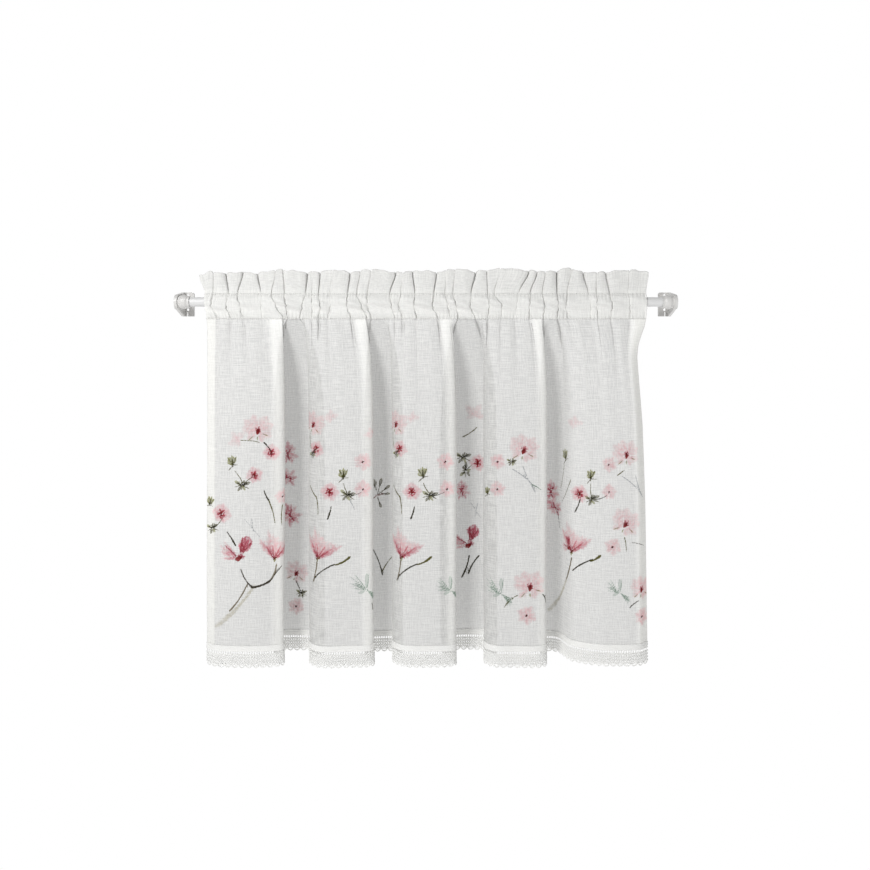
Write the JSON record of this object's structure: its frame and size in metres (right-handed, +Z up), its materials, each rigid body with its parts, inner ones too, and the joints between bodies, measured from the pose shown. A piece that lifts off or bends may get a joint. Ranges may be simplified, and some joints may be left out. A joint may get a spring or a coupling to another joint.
{
  "type": "sheer cafe curtain with lace hem on a slim rod with end brackets",
  "caption": "Short gathered sheer curtain with a rod pocket, standing frill and scalloped lace hem, hung on a slim rod held by a small bracket at each end.",
  "frame": {"origin": "midway between the two brackets, on the plane their backs are fastened to, level with the rod's axis", "axes": "+X along the rod to the right as seen from the front, +Y to what the brackets are fastened to, +Z up; the curtain's front faces -Y"},
  "size_m": [0.578, 0.0584, 0.451],
  "materials": {
    "sheer_cloth": "off-white sheer slub weave with a printed border of blossom branches",
    "lace": "off-white scalloped cotton lace",
    "rod": "satin white lacquer",
    "bracket": "satin white moulded plastic"
  },
  "bodies": {
    "root": {"curtain_cloth": "sheer_cloth", "lace_trim": "lace", "rod": "rod", "bracket_left": "bracket", "bracket_right": "bracket"}
  },
  "joints": []
}
